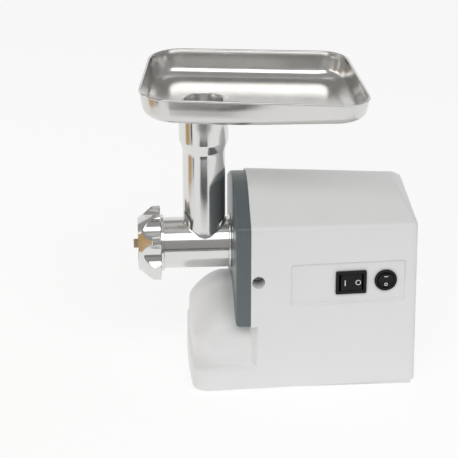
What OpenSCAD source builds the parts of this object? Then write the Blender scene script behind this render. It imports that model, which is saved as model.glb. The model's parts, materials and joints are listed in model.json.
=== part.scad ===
// Electric meat grinder: white housing with a geared motor, a polished head
// with a feed tube, an auger, a knife, a cutting plate, a ring nut and a tray.
// +X points to the rear, -X to the ring nut, -Y to the switch side, +Z up.
// "Machine" coordinates have x = 0 at the collar's front face, y = 0 on the
// housing's middle plane and z = 0 on the table.

/* [Housing] */
// Half width of the housing where it meets the collar
half_w = 75; // [72:0.5:78]
// Sideways draft of each housing wall, in degrees
side_draft = 3.3; // [2:0.1:4]
// Rear face of the housing
rear_x = 185; // [180:1:195]
// Height where the upright side turns into the sloping shoulder
shoulder_z = 182; // [176:1:188]
// Height of the flat top at the collar
top_z = 210.5; // [206:0.5:214]
// Wall thickness of the mouldings
wall = 3; // [2.4:0.1:3.6]
// Underside of the housing above the table
floor_gap = 4; // [3:0.5:6]

/* [Foot] */
// Front of the foot on the middle plane
foot_x = -43.8; // [-48:0.2:-40]
// Half width of the foot
foot_w = 69; // [64:1:71]
// Plan radius of the foot's front corners
foot_corner = 24; // [10:1:30]
// Height where the foot's sides start to curve in
spring_z = 34; // [30:1:40]
// Height of the foot's crest
foot_z = 94.2; // [90:0.2:98]
// Height of the crest at the foot's front
foot_front_z = 48; // [44:1:60]
// Length over which the crest rises from the front
foot_rise = 36; // [28:1:42]
// Height of the wide skirt around the foot
skirt_z = 27; // [22:1:32]

/* [Head] */
// Height of the drive axis
axis_z = 136.5; // [135:0.5:138]
// Outer radius of the barrel
barrel_r = 26.2; // [25:0.1:27]
// Inner radius of the barrel
bore_r = 22.6; // [21:0.1:23]
// Outer radius of the threaded front end
thread_r = 27.2; // [27:0.05:27.6]
// Distance from the collar to the feed tube's axis
tube_x = -28; // [-32:1:-24]
// Outer radius of the feed tube
tube_r = 21.6; // [20.5:0.1:23]
// Inner radius of the feed tube
throat_r = 18.8; // [17:0.1:19.2]
// Outer radius of the widened socket at the tube's top
mouth_r = 25; // [24:0.1:27]

/* [Ring nut] */
// Radius over the lugs
lug_r = 38; // [36:0.5:40]
// Radius at the bottom of the scallops
valley_r = 30; // [29.5:0.1:31]
// Number of lugs
lugs = 8; // [6:1:9]

/* [Tray] */
// Height of the tray's rim
rim_z = 318.6; // [312:0.5:325]
// Underside of the tray's floor
tray_z = 290; // [286:0.5:294]
// Angle of the tray about the feed tube, in degrees
tray_turn = -7.2; // [-10:0.2:0]
// Sheet thickness of the tray
sheet = 1; // [0.8:0.1:1.4]

/* [Gears] */
// Teeth of the output gear
output_teeth = 60; // [60:1:60]
// Teeth of the two pinions
pinion_teeth = 12; // [12:1:12]
// Teeth of the large idler gear
idler_teeth = 72; // [72:1:72]

/* [Hidden] */
$fn = 96;
hull_fn = 32;
gap = 0.3;
run = 0.05;
tiny = 0.01;

// The row's origin is the bottom centre of the whole machine.
stud_tip_x = -100.5;
middle_x = (stud_tip_x + rear_x) / 2;
tray_lean_y = 8.04;
module seat() translate([-middle_x, tray_lean_y, 0]) children();

// ---- outlines -------------------------------------------------------------

// Points of an arc about c from angle a to b.
function arc(c, r, a, b, n) = [for (i = [0:n]) c + r * [cos(a + (b - a) * i / n), sin(a + (b - a) * i / n)]];
// One corner p of an outline, replaced by an arc of radius r.
function fillet(a, p, b, r, n) =
  let (u = (a - p) / norm(a - p), v = (b - p) / norm(b - p), half = acos(u * v) / 2)
  let (c = p + (u + v) / norm(u + v) * r / sin(half), t = r / tan(half))
  let (p0 = p + u * t - c, p1 = p + v * t - c, s = atan2(p0[1], p0[0]), e = atan2(p1[1], p1[0]))
  let (turn = e - s > 180 ? e - s - 360 : e - s < -180 ? e - s + 360 : e - s)
  r < tiny ? [p] : arc(c, r, s, s + turn, n);
// An outline of corners [x, y, r], each rounded with its own radius.
function rounded(pts, n = 8) =
  let (m = len(pts), xy = [for (p = pts) [p[0], p[1]]])
  [for (i = [0:m - 1]) each fillet(xy[(i + m - 1) % m], xy[i], xy[(i + 1) % m], pts[i][2], n)];

// ---- helpers --------------------------------------------------------------

// A cylinder along X on the line (y, z).
module rod_x(x0, x1, r, y = 0, z = axis_z, r2 = -1)
  translate([x0, y, z]) rotate([0, 90, 0]) cylinder(h = x1 - x0, r1 = r, r2 = r2 < 0 ? r : r2);
// A cylinder along Y on the line (x, z).
module rod_y(y0, y1, r, x, z) translate([x, y0, z]) rotate([-90, 0, 0]) cylinder(h = y1 - y0, r = r);
// An outline in (y, z) drawn out along X.
module along_x(x0, x1) translate([x0, 0, 0]) rotate([90, 0, 90]) linear_extrude(x1 - x0) children();
// An outline in (x, z) drawn out along Y.
module along_y(y0, y1) translate([0, y1, 0]) rotate([90, 0, 0]) linear_extrude(y1 - y0) children();
// A block between two corners.
module block(a, b) translate(a) cube(b - a);

// ---- housing --------------------------------------------------------------

collar_x = 15;
collar_z = 74;
shoulder_slope = 27.5;
crown_r = 80;
crown_drop = 2.93;
rear_slope = 40;
function side_y(x) = half_w - (x - collar_x) * tan(side_draft);

// Arched section in (y, z), drawn in by d all round.
module arch(d = 0, base = floor_gap) {
  w = half_w + 6;
  corner = half_w - (top_z - shoulder_z) / tan(shoulder_slope);
  polygon(rounded([
    [-w, base, 0], [w, base, 0], [w, shoulder_z - (w - half_w) * tan(shoulder_slope) - d, 0],
    [corner, top_z - d, crown_r], [-corner, top_z - d, crown_r],
    [-w, shoulder_z - (w - half_w) * tan(shoulder_slope) - d, 0]]));
}

// Outer shape of the housing behind the collar, drawn in by d all round.
module body_solid(x0, d = 0) {
  rear = rear_x - d;
  slant_z = shoulder_z - 3.5;
  intersection() {
    translate([0, 0, floor_gap + d]) linear_extrude(300) polygon(rounded([
      [x0, -side_y(x0) + d, 0], [rear, -side_y(rear) + d, 6], [rear, side_y(rear) - d, 6],
      [x0, side_y(x0) - d, 0]]));
    along_y(-100, 100) polygon(rounded([
      [x0, 0, 0], [rear, 0, 0], [rear, slant_z - d, 6],
      [rear - 60 * tan(rear_slope), slant_z + 60 - d, 0], [x0, slant_z + 60, 0]]));
    translate([collar_x, 0, shoulder_z]) rotate([0, crown_drop, 0]) translate([-collar_x, 0, -shoulder_z])
      along_x(x0 - 30, rear_x + 30) arch(d, -60);
  }
}

// Section of the foot in (y, z): upright sides below, a full rounded arch of half width w above.
arch_power = 2.32;
module foot_section(w, crest, base)
  polygon(concat([[-w, base], [w, base]], [for (a = [0:6:180])
    [w * sign(cos(a)) * pow(abs(cos(a)), 2 / arch_power),
     spring_z + (crest - spring_z) * pow(sin(a), 2 / arch_power)]]));

// The foot in front of the collar as a row of sections, drawn in by d.
rise_power = 1.65;
module foot_solid(d = 0, end_x = 26.3) hull() for (s = [0, 1, 3, 7, 12, 18, 26, foot_rise, end_x - foot_x - d]) {
  back = 1 - min(1, s / foot_rise);
  rise = pow(1 - pow(back, rise_power), 1 / rise_power);
  corner = foot_corner - sqrt(pow(foot_corner, 2) - pow(max(0, foot_corner - s), 2));
  along_x(foot_x + d + s, foot_x + d + s + tiny) foot_section(foot_w - d - corner,
    foot_front_z + (foot_z - foot_front_z) * rise - d, floor_gap + d);
}

// Below the collar the foot's side flares out to the housing's side.
module flare_solid() hull() {
  end_x = collar_x + 9.3;
  side = side_y(end_x) - 0.25;
  along_x(collar_x - 2, collar_x) intersection() {
    foot_section(foot_w - 0.2, foot_z - 0.2, floor_gap);
    translate([-100, 0]) square([200, collar_z]);
  }
  along_x(collar_x + 8, end_x) translate([-side, floor_gap]) square([2 * side, collar_z - floor_gap]);
}

// Wide base skirt with a sloping ledge up to the foot.
module skirt_solid() {
  skirt_x = foot_x - 4.2;
  back_x = collar_x + 10;
  module plan(d, z, h) translate([0, 0, z]) linear_extrude(h) polygon(rounded([
    [skirt_x + d / 4, -side_y(skirt_x) + d + 0.1, 14], [back_x, -side_y(back_x) + d / 4 + 0.1, 0],
    [back_x, side_y(back_x) - d / 4 - 0.1, 0], [skirt_x + d / 4, side_y(skirt_x) - d - 0.1, 14]]));
  plan(0, floor_gap, skirt_z - floor_gap);
  hull() {
    plan(0, skirt_z - tiny, tiny);
    plan(9, skirt_z + 9, tiny);
  }
}

socket_r = 28.2;
plate_front_x = -42;
lock_x = 22.5;
lock_z = 123.5;
lock_r = 6.6;
panel_x = [55, 171];
panel_z = [95.6, 141];
panel_depth = 2.2;
panel_at = [(panel_x[0] + panel_x[1]) / 2, (panel_z[0] + panel_z[1]) / 2];
inlet_z = 40;
louvres = 6;

module housing() seat() color("whitesmoke") difference() {
  union() {
    difference() {
      body_solid(collar_x);
      block([collar_x - 1, -90, 0], [collar_x + 8, 90, collar_z]);
    }
    foot_solid();
    flare_solid();
    skirt_solid();
  }
  // hollow inside
  difference() {
    body_solid(collar_x - 20, wall);
    block([-20, -90, 0], [collar_x + 8 + wall, 90, collar_z + wall]);
    block([-20, -90, 0], [collar_x + 3, 90, 300]);
  }
  foot_solid(wall, collar_x + 20);
  block([plate_front_x, -foot_w + 4, 0], [rear_x - 4, foot_w - 9, floor_gap + wall + 1]);
  // opening for the gear socket between foot and collar
  along_x(-tiny, collar_x + 30) polygon(rounded([
    [-40, 107, 8], [40, 107, 8], [40, 176, 8], [-40, 176, 8]]));
  // lock bolt hole, panel window, inlet hole, louvres
  rod_y(-half_w - 5, -half_w + 14, lock_r, lock_x, lock_z);
  rod_y(-side_y(lock_x) + wall, -38, 8.6, lock_x, lock_z);
  on_side(panel_at[0], panel_at[1], -panel_depth) translate([0, 0, -30]) linear_extrude(60) panel_outline(0);
  rod_x(rear_x - 12, rear_x + 5, 7.5, 30, inlet_z);
  for (i = [0:louvres - 1])
    block([rear_x - 12, -44, 70 + i * 9], [rear_x + 5, 44, 74 + i * 9]);
}

module collar() seat() color("slategray") difference() {
  inset = 1;
  intersection() {
    along_x(0, collar_x - 0.05) polygon(rounded([
      [-half_w + inset, collar_z, 3], [half_w - inset, collar_z, 3],
      [half_w - inset, shoulder_z - inset, 0],
      [half_w - (top_z - shoulder_z) / tan(shoulder_slope), top_z - 2.3, crown_r],
      [-half_w + (top_z - shoulder_z) / tan(shoulder_slope), top_z - 2.3, crown_r],
      [-half_w + inset, shoulder_z - inset, 0]]));
    along_y(-100, 100) polygon(rounded([
      [0, collar_z, 4], [collar_x, collar_z, 0], [collar_x, 300, 0], [0, 300, 0]]));
  }
  // pocket behind the front face
  translate([3, 0, 0]) along_x(0, collar_x) polygon([
      [-half_w + 5, collar_z - 1], [half_w - 5, collar_z - 1], [half_w - 5, shoulder_z - 4],
      [24, top_z - 8], [-24, top_z - 8], [-half_w + 5, shoulder_z - 4]]);
  // the foot passes under the face
  intersection() {
    along_x(-1, collar_x + 1) foot_section(foot_w + gap, foot_z + gap, 0);
    block([-2, -foot_w - gap, 0], [collar_x + 2, foot_w + gap, 200]);
  }
  rod_x(-1, collar_x, socket_r + gap);
}

module base_plate() seat() color("gainsboro") difference() {
  block([plate_front_x + gap, -foot_w + 4 + gap, floor_gap], [rear_x - 4 - gap, foot_w - 9 - gap, floor_gap + wall]);
  for (p = foot_places) translate([p[0], p[1], 0]) cylinder(h = 20, r = 2.2);
  for (i = [0:9]) block([96 + i * 6, -30, 0], [99 + i * 6, 30, 20]);
}

foot_places = [[-32, -54], [-32, 52], [142, -52], [142, 50]];
module feet() seat() color("dimgray") for (p = foot_places) translate([p[0], p[1], 0]) difference() {
  cylinder(h = floor_gap, r1 = 7.4, r2 = 8);
  translate([0, 0, -1]) cylinder(h = 3, r = 4.2);
}

module base_screws() seat() color("silver") for (p = foot_places) translate([p[0], p[1], 0]) {
  translate([0, 0, floor_gap + wall]) cylinder(h = 1.6, r = 3.8);
  translate([0, 0, floor_gap]) cylinder(h = wall, r = 2.1);
}

// ---- controls -------------------------------------------------------------

rocker_at = [116.1, 118.4];
round_at = [151.3, 119];
// A frame on the draughted side wall: local +Z points out of the wall.
module on_side(x, z, out = 0)
  translate([x, -side_y(x) - out, z]) rotate([90, 0, side_draft]) children();

// The recessed panel fills its window from behind, with a rim inside the wall.
module panel_outline(grow) {
  w = (panel_x[1] - panel_x[0]) / 2 + grow;
  h = (panel_z[1] - panel_z[0]) / 2 + grow;
  polygon(rounded([[-w, -h, 3], [w, -h, 3], [w, h, 3], [-w, h, 3]]));
}
module panel() seat() color("whitesmoke") difference() {
  on_side(panel_at[0], panel_at[1], -panel_depth) union() {
    translate([0, 0, -2.8]) linear_extrude(2.8) panel_outline(-gap);
    translate([0, 0, -2.8]) linear_extrude(1.7) panel_outline(3);
  }
  on_side(rocker_at[0], rocker_at[1], -panel_depth) translate([-13.6, -11, -20]) cube([27.2, 22, 40]);
  on_side(round_at[0], round_at[1], -panel_depth) translate([0, 0, -20]) cylinder(h = 40, r = 10.1);
}

module rocker_frame() seat() color("black")
  on_side(rocker_at[0], rocker_at[1], -panel_depth) difference() {
    union() {
      linear_extrude(2) polygon(rounded([
        [-15.7, -12.5, 1.5], [15.7, -12.5, 1.5], [15.7, 12.5, 1.5], [-15.7, 12.5, 1.5]]));
      translate([-13.4, -10.8, -24]) cube([26.8, 21.6, 24 + tiny]);
    }
    translate([-12.5, -9.2, -8]) cube([25, 18.4, 20]);
  }

module rocker_paddle() seat() color("black")
  on_side(rocker_at[0], rocker_at[1], -panel_depth - 3) rotate([90, 0, 0]) difference() {
    translate([0, 0, -8.9]) linear_extrude(17.8) polygon(rounded([
      [-10.6, 5.6, 1], [-11.2, -1, 1], [0, -3.2, 2], [11.2, -1, 1], [10.6, 5.6, 1], [0, 4.6, 30]]));
    translate([0, 0, -10]) cylinder(h = 20, r = 1);
  }

module rocker_marks() seat() color("white")
  on_side(rocker_at[0], rocker_at[1], -panel_depth - 3) {
    translate([-7, -3, 5.1]) cube([1, 6, 0.4]);
    translate([6.8, 0, 5.1]) difference() {
      cylinder(h = 0.4, r = 2.8);
      translate([0, 0, -1]) cylinder(h = 3, r = 2);
    }
  }

module round_frame() seat() color("black")
  on_side(round_at[0], round_at[1], -panel_depth) difference() {
    union() {
      cylinder(h = 2, r = 11.5);
      translate([0, 0, -20]) cylinder(h = 20 + tiny, r = 9.9);
    }
    translate([0, 0, -8]) cylinder(h = 20, r = 8.6);
  }

module round_paddle() seat() color("black")
  on_side(round_at[0], round_at[1], -panel_depth - 2) intersection() {
    rotate([0, 90, 0]) translate([0, 0, -10]) linear_extrude(20) polygon(rounded([
      [-4.6, -7, 1], [-3.8, 0, 20], [-4.6, 7, 1], [0.6, 7.6, 1], [2.4, 0, 2], [0.6, -7.6, 1]]));
    translate([0, 0, -10]) difference() {
      cylinder(h = 20, r = 7.9);
      translate([-10, 0, 10]) rotate([0, 90, 0]) cylinder(h = 20, r = 1);
    }
  }

module round_marks() seat() color("white")
  on_side(round_at[0], round_at[1], -panel_depth - 2) {
    translate([-2, 4, 4.15]) cube([4, 0.8, 0.4]);
    translate([0, -4.2, 4.15]) difference() {
      cylinder(h = 0.4, r = 1.7);
      translate([0, 0, -1]) cylinder(h = 3, r = 1);
    }
  }

module lock_sleeve() seat() color("whitesmoke") difference() {
  rod_y(-side_y(lock_x) + wall + 0.6, -57, lock_r + 0.8, lock_x, lock_z);
  rod_y(-90, -50, lock_r + 0.2, lock_x, lock_z);
}

// ---- gearbox --------------------------------------------------------------

// Pitch modules of the two stages and the axes in (y, z).
slow_module = 1.5;
fast_module = 1;
slow_reach = slow_module * (output_teeth + pinion_teeth) / 2;
fast_reach = fast_module * (idler_teeth + pinion_teeth) / 2;
slow_angle = -66;
fast_angle = -137;
output_yz = [0, axis_z];
idler_yz = output_yz + slow_reach * [cos(slow_angle), sin(slow_angle)];
motor_yz = idler_yz + fast_reach * [cos(fast_angle), sin(fast_angle)];

// Stub teeth with involute flanks, one tooth centred on the angle `phase`.
pressure = 20;
backlash = 0.22;
function involute(base, r) = let (t = sqrt(max(0, pow(r / base, 2) - 1))) t * 180 / PI - atan(t);
function half_tooth(m, n, r) =
  let (pitch = m * n / 2, base = pitch * cos(pressure))
  90 / n - backlash / 2 / pitch * 180 / PI + involute(base, pitch) - involute(base, max(r, base));
module gear_outline(m, n, phase) {
  pitch = m * n / 2;
  tip = pitch + 0.8 * m;
  root = pitch - 1.05 * m;
  steps = [root, max(root + 0.2 * m, pitch * cos(pressure)), pitch, tip];
  polygon([for (i = [0:n - 1]) each [
    for (k = [0:3]) steps[k] * [cos(phase + 360 * i / n - half_tooth(m, n, steps[k])),
                                sin(phase + 360 * i / n - half_tooth(m, n, steps[k]))],
    for (k = [3:-1:0]) steps[k] * [cos(phase + 360 * i / n + half_tooth(m, n, steps[k])),
                                   sin(phase + 360 * i / n + half_tooth(m, n, steps[k]))]]]);
}
module gear(x0, x1, yz, m, n, phase)
  along_x(x0, x1) translate(yz) gear_outline(m, n, phase);

slow_x = [36, 50];
fast_x = [52, 60];

module head_socket() seat() color("silver") difference() {
  union() {
    rod_x(2.3, 30, socket_r);
    rod_x(30, 34, 44);
    rod_y(-56, -24, 8, lock_x, lock_z);
  }
  rod_x(0, 31, barrel_r - 0.1 + run);
  rod_x(30, 35, 15.2);
  rod_y(-60, -20, 3.4, lock_x, lock_z);
}

case_outline = [[-50, 30, 10], [50, 30, 10], [64, 60, 16], [64, 112, 20], [50, 150, 30], [30, 188, 30],
                [-30, 188, 30], [-50, 160, 20]];
case_screws = [[-41, 39], [42, 39], [-41, 160], [41, 160]];
module gearcase_front() seat() color("silver") difference() {
  along_x(34.05, 64) polygon(rounded(case_outline));
  along_x(35.5, 70) polygon(rounded([for (p = case_outline) [p[0] * 0.94, (p[1] - 109) * 0.95 + 109, p[2]]]));
  rod_x(34, 36, 15.2);
  rod_x(34, 36, 3.05, idler_yz[0], idler_yz[1]);
}
module gearcase_rear() seat() color("silver") difference() {
  along_x(64.05, 68) polygon(rounded(case_outline));
  rod_x(63, 69, 4.1, motor_yz[0], motor_yz[1]);
  rod_x(63, 69, 3.05, idler_yz[0], idler_yz[1]);
  rod_x(63, 66, 8.05);
  for (p = case_screws) rod_x(63, 69, 2.1, p[0], p[1]);
}
module gearcase_screws() seat() color("silver") for (p = case_screws) {
  rod_x(68.05, 70.5, 3.6, p[0], p[1]);
  rod_x(64.1, 68.05, 2, p[0], p[1]);
}
module output_bush() seat() color("goldenrod") difference() {
  rod_x(30.5, 35.45, 15.1);
  rod_x(30, 36, 12 + run);
}
module drive_hub() seat() color("gray") difference() {
  union() {
    rod_x(28.6, 35.6, 12);
    rod_x(35.6, 62, 14);
    rod_x(62, 65.8, 8);
  }
  block([20, -6.6, axis_z - 6.6], [56, 6.6, axis_z + 6.6]);
}
module output_gear() seat() color("dimgray") difference() {
  gear(slow_x[0], slow_x[1], output_yz, slow_module, output_teeth, slow_angle);
  rod_x(30, 70, 14);
}
module idler_axle() seat() color("silver") rod_x(34.1, 67.9, 3, idler_yz[0], idler_yz[1]);
module idler_pinion() seat() color("gray") difference() {
  gear(slow_x[0] + 0.2, fast_x[0], idler_yz, slow_module, pinion_teeth,
       slow_angle + 180 + 180 / pinion_teeth);
  rod_x(30, 70, 3 + run, idler_yz[0], idler_yz[1]);
}
module idler_gear() seat() color("ivory") difference() {
  gear(fast_x[0], fast_x[1], idler_yz, fast_module, idler_teeth, fast_angle);
  rod_x(30, 70, 3 + run, idler_yz[0], idler_yz[1]);
  for (a = [0:60:300])
    rod_x(50, 62, 7, idler_yz[0] + 22 * cos(a), idler_yz[1] + 22 * sin(a));
}
module motor_pinion() seat() color("gray") difference() {
  gear(fast_x[0] - 0.5, fast_x[1] + 1, motor_yz, fast_module, pinion_teeth,
       fast_angle + 180 + 180 / pinion_teeth);
  rod_x(40, 70, 2.5, motor_yz[0], motor_yz[1]);
}

// ---- motor ----------------------------------------------------------------

stator_r = 32;
rotor_r = 16;
stator_x = [84, 118];
my = motor_yz[0];
mz = motor_yz[1];
module rotor_shaft() seat() color("silver") {
  rod_x(50, 64, 2.5, my, mz);
  rod_x(64, 150.5, 4.05, my, mz);
}
module rotor_core() seat() color("gray") difference() {
  rod_x(stator_x[0] + 1, stator_x[1] - 1, rotor_r, my, mz);
  rod_x(60, 150, 4.05, my, mz);
  for (a = [0:30:330])
    translate([60, my, mz]) rotate([a, 0, 0]) translate([0, -1, rotor_r - 5]) cube([80, 2, 8]);
}
module commutator() seat() color("peru") difference() {
  rod_x(126, 138, 9, my, mz);
  rod_x(60, 160, 4.05, my, mz);
  for (a = [0:30:330])
    translate([125, my, mz]) rotate([a, 0, 0]) translate([0, -0.3, 8]) cube([11, 0.6, 2]);
}
module cooling_fan() seat() color("dimgray") difference() {
  union() {
    rod_x(72, 80, 8, my, mz);
    rod_x(72, 73.5, 21, my, mz);
    for (a = [0:40:320])
      translate([72, my, mz]) rotate([a, 0, 0]) translate([0.5, -0.7, 7]) cube([7, 1.4, 13.4]);
  }
  rod_x(60, 160, 4.05, my, mz);
}
module motor_stator() seat() color("gray") difference() {
  intersection() {
    rod_x(stator_x[0], stator_x[1], stator_r, my, mz);
    block([0, my - 28, 0], [200, my + 28, 200]);
  }
  rod_x(60, 150, rotor_r + 0.5, my, mz);
  for (s = [-1, 1]) block([60, my - 14, mz + s * 20 - 5], [150, my + 14, mz + s * 20 + 5]);
  for (s = [-1, 1]) rod_x(60, 150, 2.1, my + s * 23.5, mz);
}
module field_coils() seat() color("peru") for (s = [-1, 1])
  translate([stator_x[0] - 3, my - 13.8, mz + s * 20 - 3]) difference() {
    cube([stator_x[1] - stator_x[0] + 6, 27.6, 6]);
    translate([8, -1, -1]) cube([1, 0.5, 1]);
  }
module motor_shield() seat() color("silver") difference() {
  union() {
    along_x(142, 146) translate(motor_yz) polygon(rounded([
      [-31, -9, 4], [31, -9, 4], [31, 9, 4], [-31, 9, 4]]));
    rod_x(138.5, 150, 11, my, mz);
  }
  rod_x(138, 160, 8, my, mz);
  for (s = [-1, 1]) rod_x(138, 150, 2.1, my + s * 23.5, mz);
}
module shaft_bearing() seat() color("silver") difference() {
  rod_x(142, 150, 7.95, my, mz);
  rod_x(140, 155, 4.05 + run, my, mz);
}
module motor_bolts() seat() color("silver") for (s = [-1, 1]) {
  rod_x(68.1, 146.1, 2, my + s * 23.5, mz);
  rod_x(146.1, 149, 3.8, my + s * 23.5, mz);
}
module motor_cradle() seat() color("gainsboro") difference() {
  block([88, my - 30, floor_gap + wall], [114, my + 30, mz - 8]);
  rod_x(80, 120, stator_r + 0.1, my, mz);
}
// Two brushes, above and below the commutator, in brass holders.
module at_brush() for (s = [90, 270]) translate([132, my, mz]) rotate([s, 0, 0]) children();
module brush_holders() seat() color("goldenrod") at_brush() difference() {
  translate([-4.5, 10.5, -4]) cube([9, 17.5, 8]);
  translate([-3, 8, -2.5]) cube([6, 22, 5]);
}
module brushes() seat() color("black") at_brush() translate([-2.9, 9.2, -2.4]) cube([5.8, 10.8, 4.8]);

module cord_inlet() seat() color("black") difference() {
  union() {
    rod_x(rear_x - 12, rear_x - wall, 10, 30, inlet_z);
    rod_x(rear_x - wall, rear_x - 0.2, 7.3, 30, inlet_z);
  }
  rod_x(rear_x - 20, rear_x + 5, 3.6, 30, inlet_z);
}
module terminal_block() seat() color("ivory") difference() {
  block([150, 2, floor_gap + wall], [164, 40, 22]);
  for (i = [0:3]) translate([157, 7 + i * 9.3, 16]) cylinder(h = 10, r = 2.4);
}
module capacitor() seat() color("khaki") block([104, 42, floor_gap + wall], [122, 52, 26]);
module earth_screw() seat() color("goldenrod") {
  translate([70, 50, floor_gap + wall]) cylinder(h = 6, r = 2);
  translate([70, 50, floor_gap + wall + 6]) cylinder(h = 2.4, r = 4, $fn = 6);
}

// ---- grinder head ---------------------------------------------------------

head_front = -90.3;
plate_x = [-90.2, -85.2];
plate_r = 24.5;
spigot_r = barrel_r - 0.1;
key_a = 26;
// The throat is straight above this height and slightly relieved below it.
throat_z = 168;
// A turned solid along X, [x, radius] points; and one up the feed tube, [radius, z] points.
module lathe_x(points) translate([0, 0, axis_z]) rotate([0, 90, 0])
  rotate_extrude() polygon([for (p = points) [p[1], p[0]]]);
module lathe_tube(points) translate([tube_x, 0, 0]) rotate([0, 0, 37])
  rotate_extrude() polygon(points);
module head_casting() seat() color("silver") difference() {
  union() {
    lathe_x([[head_front, 0], [head_front, thread_r], [-72, thread_r], [-72, barrel_r],
      [-3, barrel_r], [-3, 27.2], [-0.8, 27.2], [-0.8, barrel_r], [-0.2, barrel_r], [-0.2, 27.2],
      [1.9, 27.2], [1.9, spigot_r], [28.2, spigot_r], [28.2, 0]]);
    lathe_tube([[0, axis_z + 5], [tube_r, axis_z + 5], [tube_r, 240], [mouth_r, 250],
      [mouth_r, tray_z], [0, tray_z]]);
  }
  lathe_x([[-120, 0], [-120, plate_r + 0.1], [plate_x[1], plate_r + 0.1], [plate_x[1], 24],
    [-79, 24], [-79, bore_r], [-2, bore_r], [-2, 15], [40, 15], [40, 0]]);
  lathe_tube([[0, axis_z + 2], [throat_r + 0.6, axis_z + 2], [throat_r + 0.6, throat_z],
    [throat_r, throat_z], [throat_r, 252], [22.2, 252],
    [22.2, 350], [0, 350]]);
  // slot for the plate's key and the lock bolt's seat
  translate([0, 0, axis_z]) rotate([key_a, 0, 0]) block([-100, -1.7, 20], [plate_x[1] + 0.4, 1.7, 26.3]);
  rod_y(-40, -17, 4, lock_x, lock_z);
}
module barrel_bush() seat() color("ivory") difference() {
  rod_x(-2, 12, 14.9);
  rod_x(-5, 30, 9.6);
}
module plate_key() seat() color("gray") translate([0, 0, axis_z]) rotate([key_a, 0, 0])
  block([plate_x[0] + 0.1, -1.6, plate_r + 0.02], [plate_x[1], 1.6, 26.2]);
module cutting_plate() seat() color("silver") difference() {
  rod_x(plate_x[0], plate_x[1] - 0.02, plate_r);
  rod_x(-100, -60, 4.7);
  for (ring = [[10, 8], [15.6, 13], [21, 18]], i = [0:ring[1] - 1])
    rod_x(-100, -60, 2.1, ring[0] * cos(360 * i / ring[1] + 90 + key_a + 180 / ring[1]),
          axis_z + ring[0] * sin(360 * i / ring[1] + 90 + key_a + 180 / ring[1]));
}

auger_front = -79.5;
module auger() seat() color("silver") difference() {
  union() {
    rod_x(auger_front, -5, 9.2);
    translate([auger_front + 0.5, 0, axis_z]) rotate([0, 90, 0])
      linear_extrude(height = 74, twist = -1080, slices = 110, $fn = 24)
        polygon(rounded([[-3, -8, 1], [3, -8, 1], [2, 22, 1], [-2, 22, 1]], 2));
    rod_x(-5, 20, 9.5);
    block([19.9, -6.5, axis_z - 6.5], [50, 6.5, axis_z + 6.5]);
  }
  rod_x(auger_front - 1, auger_front + 12, 4.6);
}
module auger_stud() seat() color("tan") rod_x(stud_tip_x, auger_front + 11, 4.6);
module thrust_washer() seat() color("ivory") difference() {
  rod_x(-4.6, -2.2, 21.5);
  rod_x(-10, 0, 9.6);
}
module knife() seat() color("silver") difference() {
  union() {
    rod_x(-85.15, -79.55, 8);
    for (a = [0:90:270]) translate([0, 0, axis_z]) rotate([a, 0, 0])
      along_x(-85.15, -81.5) polygon(rounded([[-3.4, 5, 0], [3.4, 5, 0], [4.4, 23, 1], [-1.2, 23, 1]], 3));
  }
  rod_x(-90, -70, 4.6);
}

ring_x = [-96, -69.7];
scallop_r = 15.4;
module ring_nut() seat() color("silver") difference() {
  intersection() {
    union() {
      rod_x(ring_x[0], ring_x[1] - 3, lug_r);
      rod_x(ring_x[1] - 3 - tiny, ring_x[1], 29.2);
    }
    rod_x(ring_x[0], ring_x[0] + 52, 26.6, 0, axis_z, 26.6 + 52 * (lug_r - 26.6) / 15);
  }
  for (i = [0:lugs - 1]) let (a = 24 + 180 / lugs + 360 * i / lugs)
    rod_x(-110, ring_x[1] - 3, scallop_r, -(valley_r + scallop_r) * cos(a),
          axis_z + (valley_r + scallop_r) * sin(a));
  rod_x(head_front - 0.1, -60, thread_r + run);
  rod_x(-100, -60, 22);
  rod_x(ring_x[0] - tiny, ring_x[0] + 4, 25.2, 0, axis_z, 22);
}

// ---- tray -----------------------------------------------------------------

// Corners of the rim in the tray's own frame, with the tube's axis at 0, 0.
tray_plan = [[-60, -76], [171, -81], [139, 80], [-60, 78]];
tray_radii = [34, 26, 30, 34];
// The centre the outline shrinks towards.
tray_mid = [54, 0];
function shrink(p, d) = [p[0] + (p[0] > tray_mid[0] ? -d : d), p[1] + (p[1] > 0 ? -d : d)];
module tray_layer(d, z, less = 0) translate([0, 0, z]) linear_extrude(tiny) polygon(rounded([
  for (i = [0:3]) concat(shrink(tray_plan[i], d), tray_radii[i] - less)], 10));
module tray_bowl(d, lift) hull() {
  tray_layer(d, rim_z + (lift > 0 ? 1 : -tiny));
  tray_layer(2.5 + d, tray_z + 13 + lift, 1);
  tray_layer(7 + d, tray_z + 4.5 + lift, 3);
  tray_layer(15 + d, tray_z + lift, 6);
}
module on_tube() seat() translate([tube_x, 0, 0]) rotate([0, 0, tray_turn]) children();
module tray() on_tube() color("gainsboro") difference() {
  tray_bowl(0, 0);
  tray_bowl(sheet, sheet);
  translate([0, 0, tray_z - 1]) cylinder(h = 10, r = 20.6);
}
module tray_neck() on_tube() color("gainsboro") difference() {
  union() {
    translate([0, 0, tray_z - 18]) cylinder(h = 18 + sheet, r = 20.6);
    translate([0, 0, tray_z + sheet]) cylinder(h = 0.8, r1 = 22, r2 = 21);
  }
  translate([0, 0, tray_z - 30]) cylinder(h = 60, r = 19.4);
}

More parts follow.
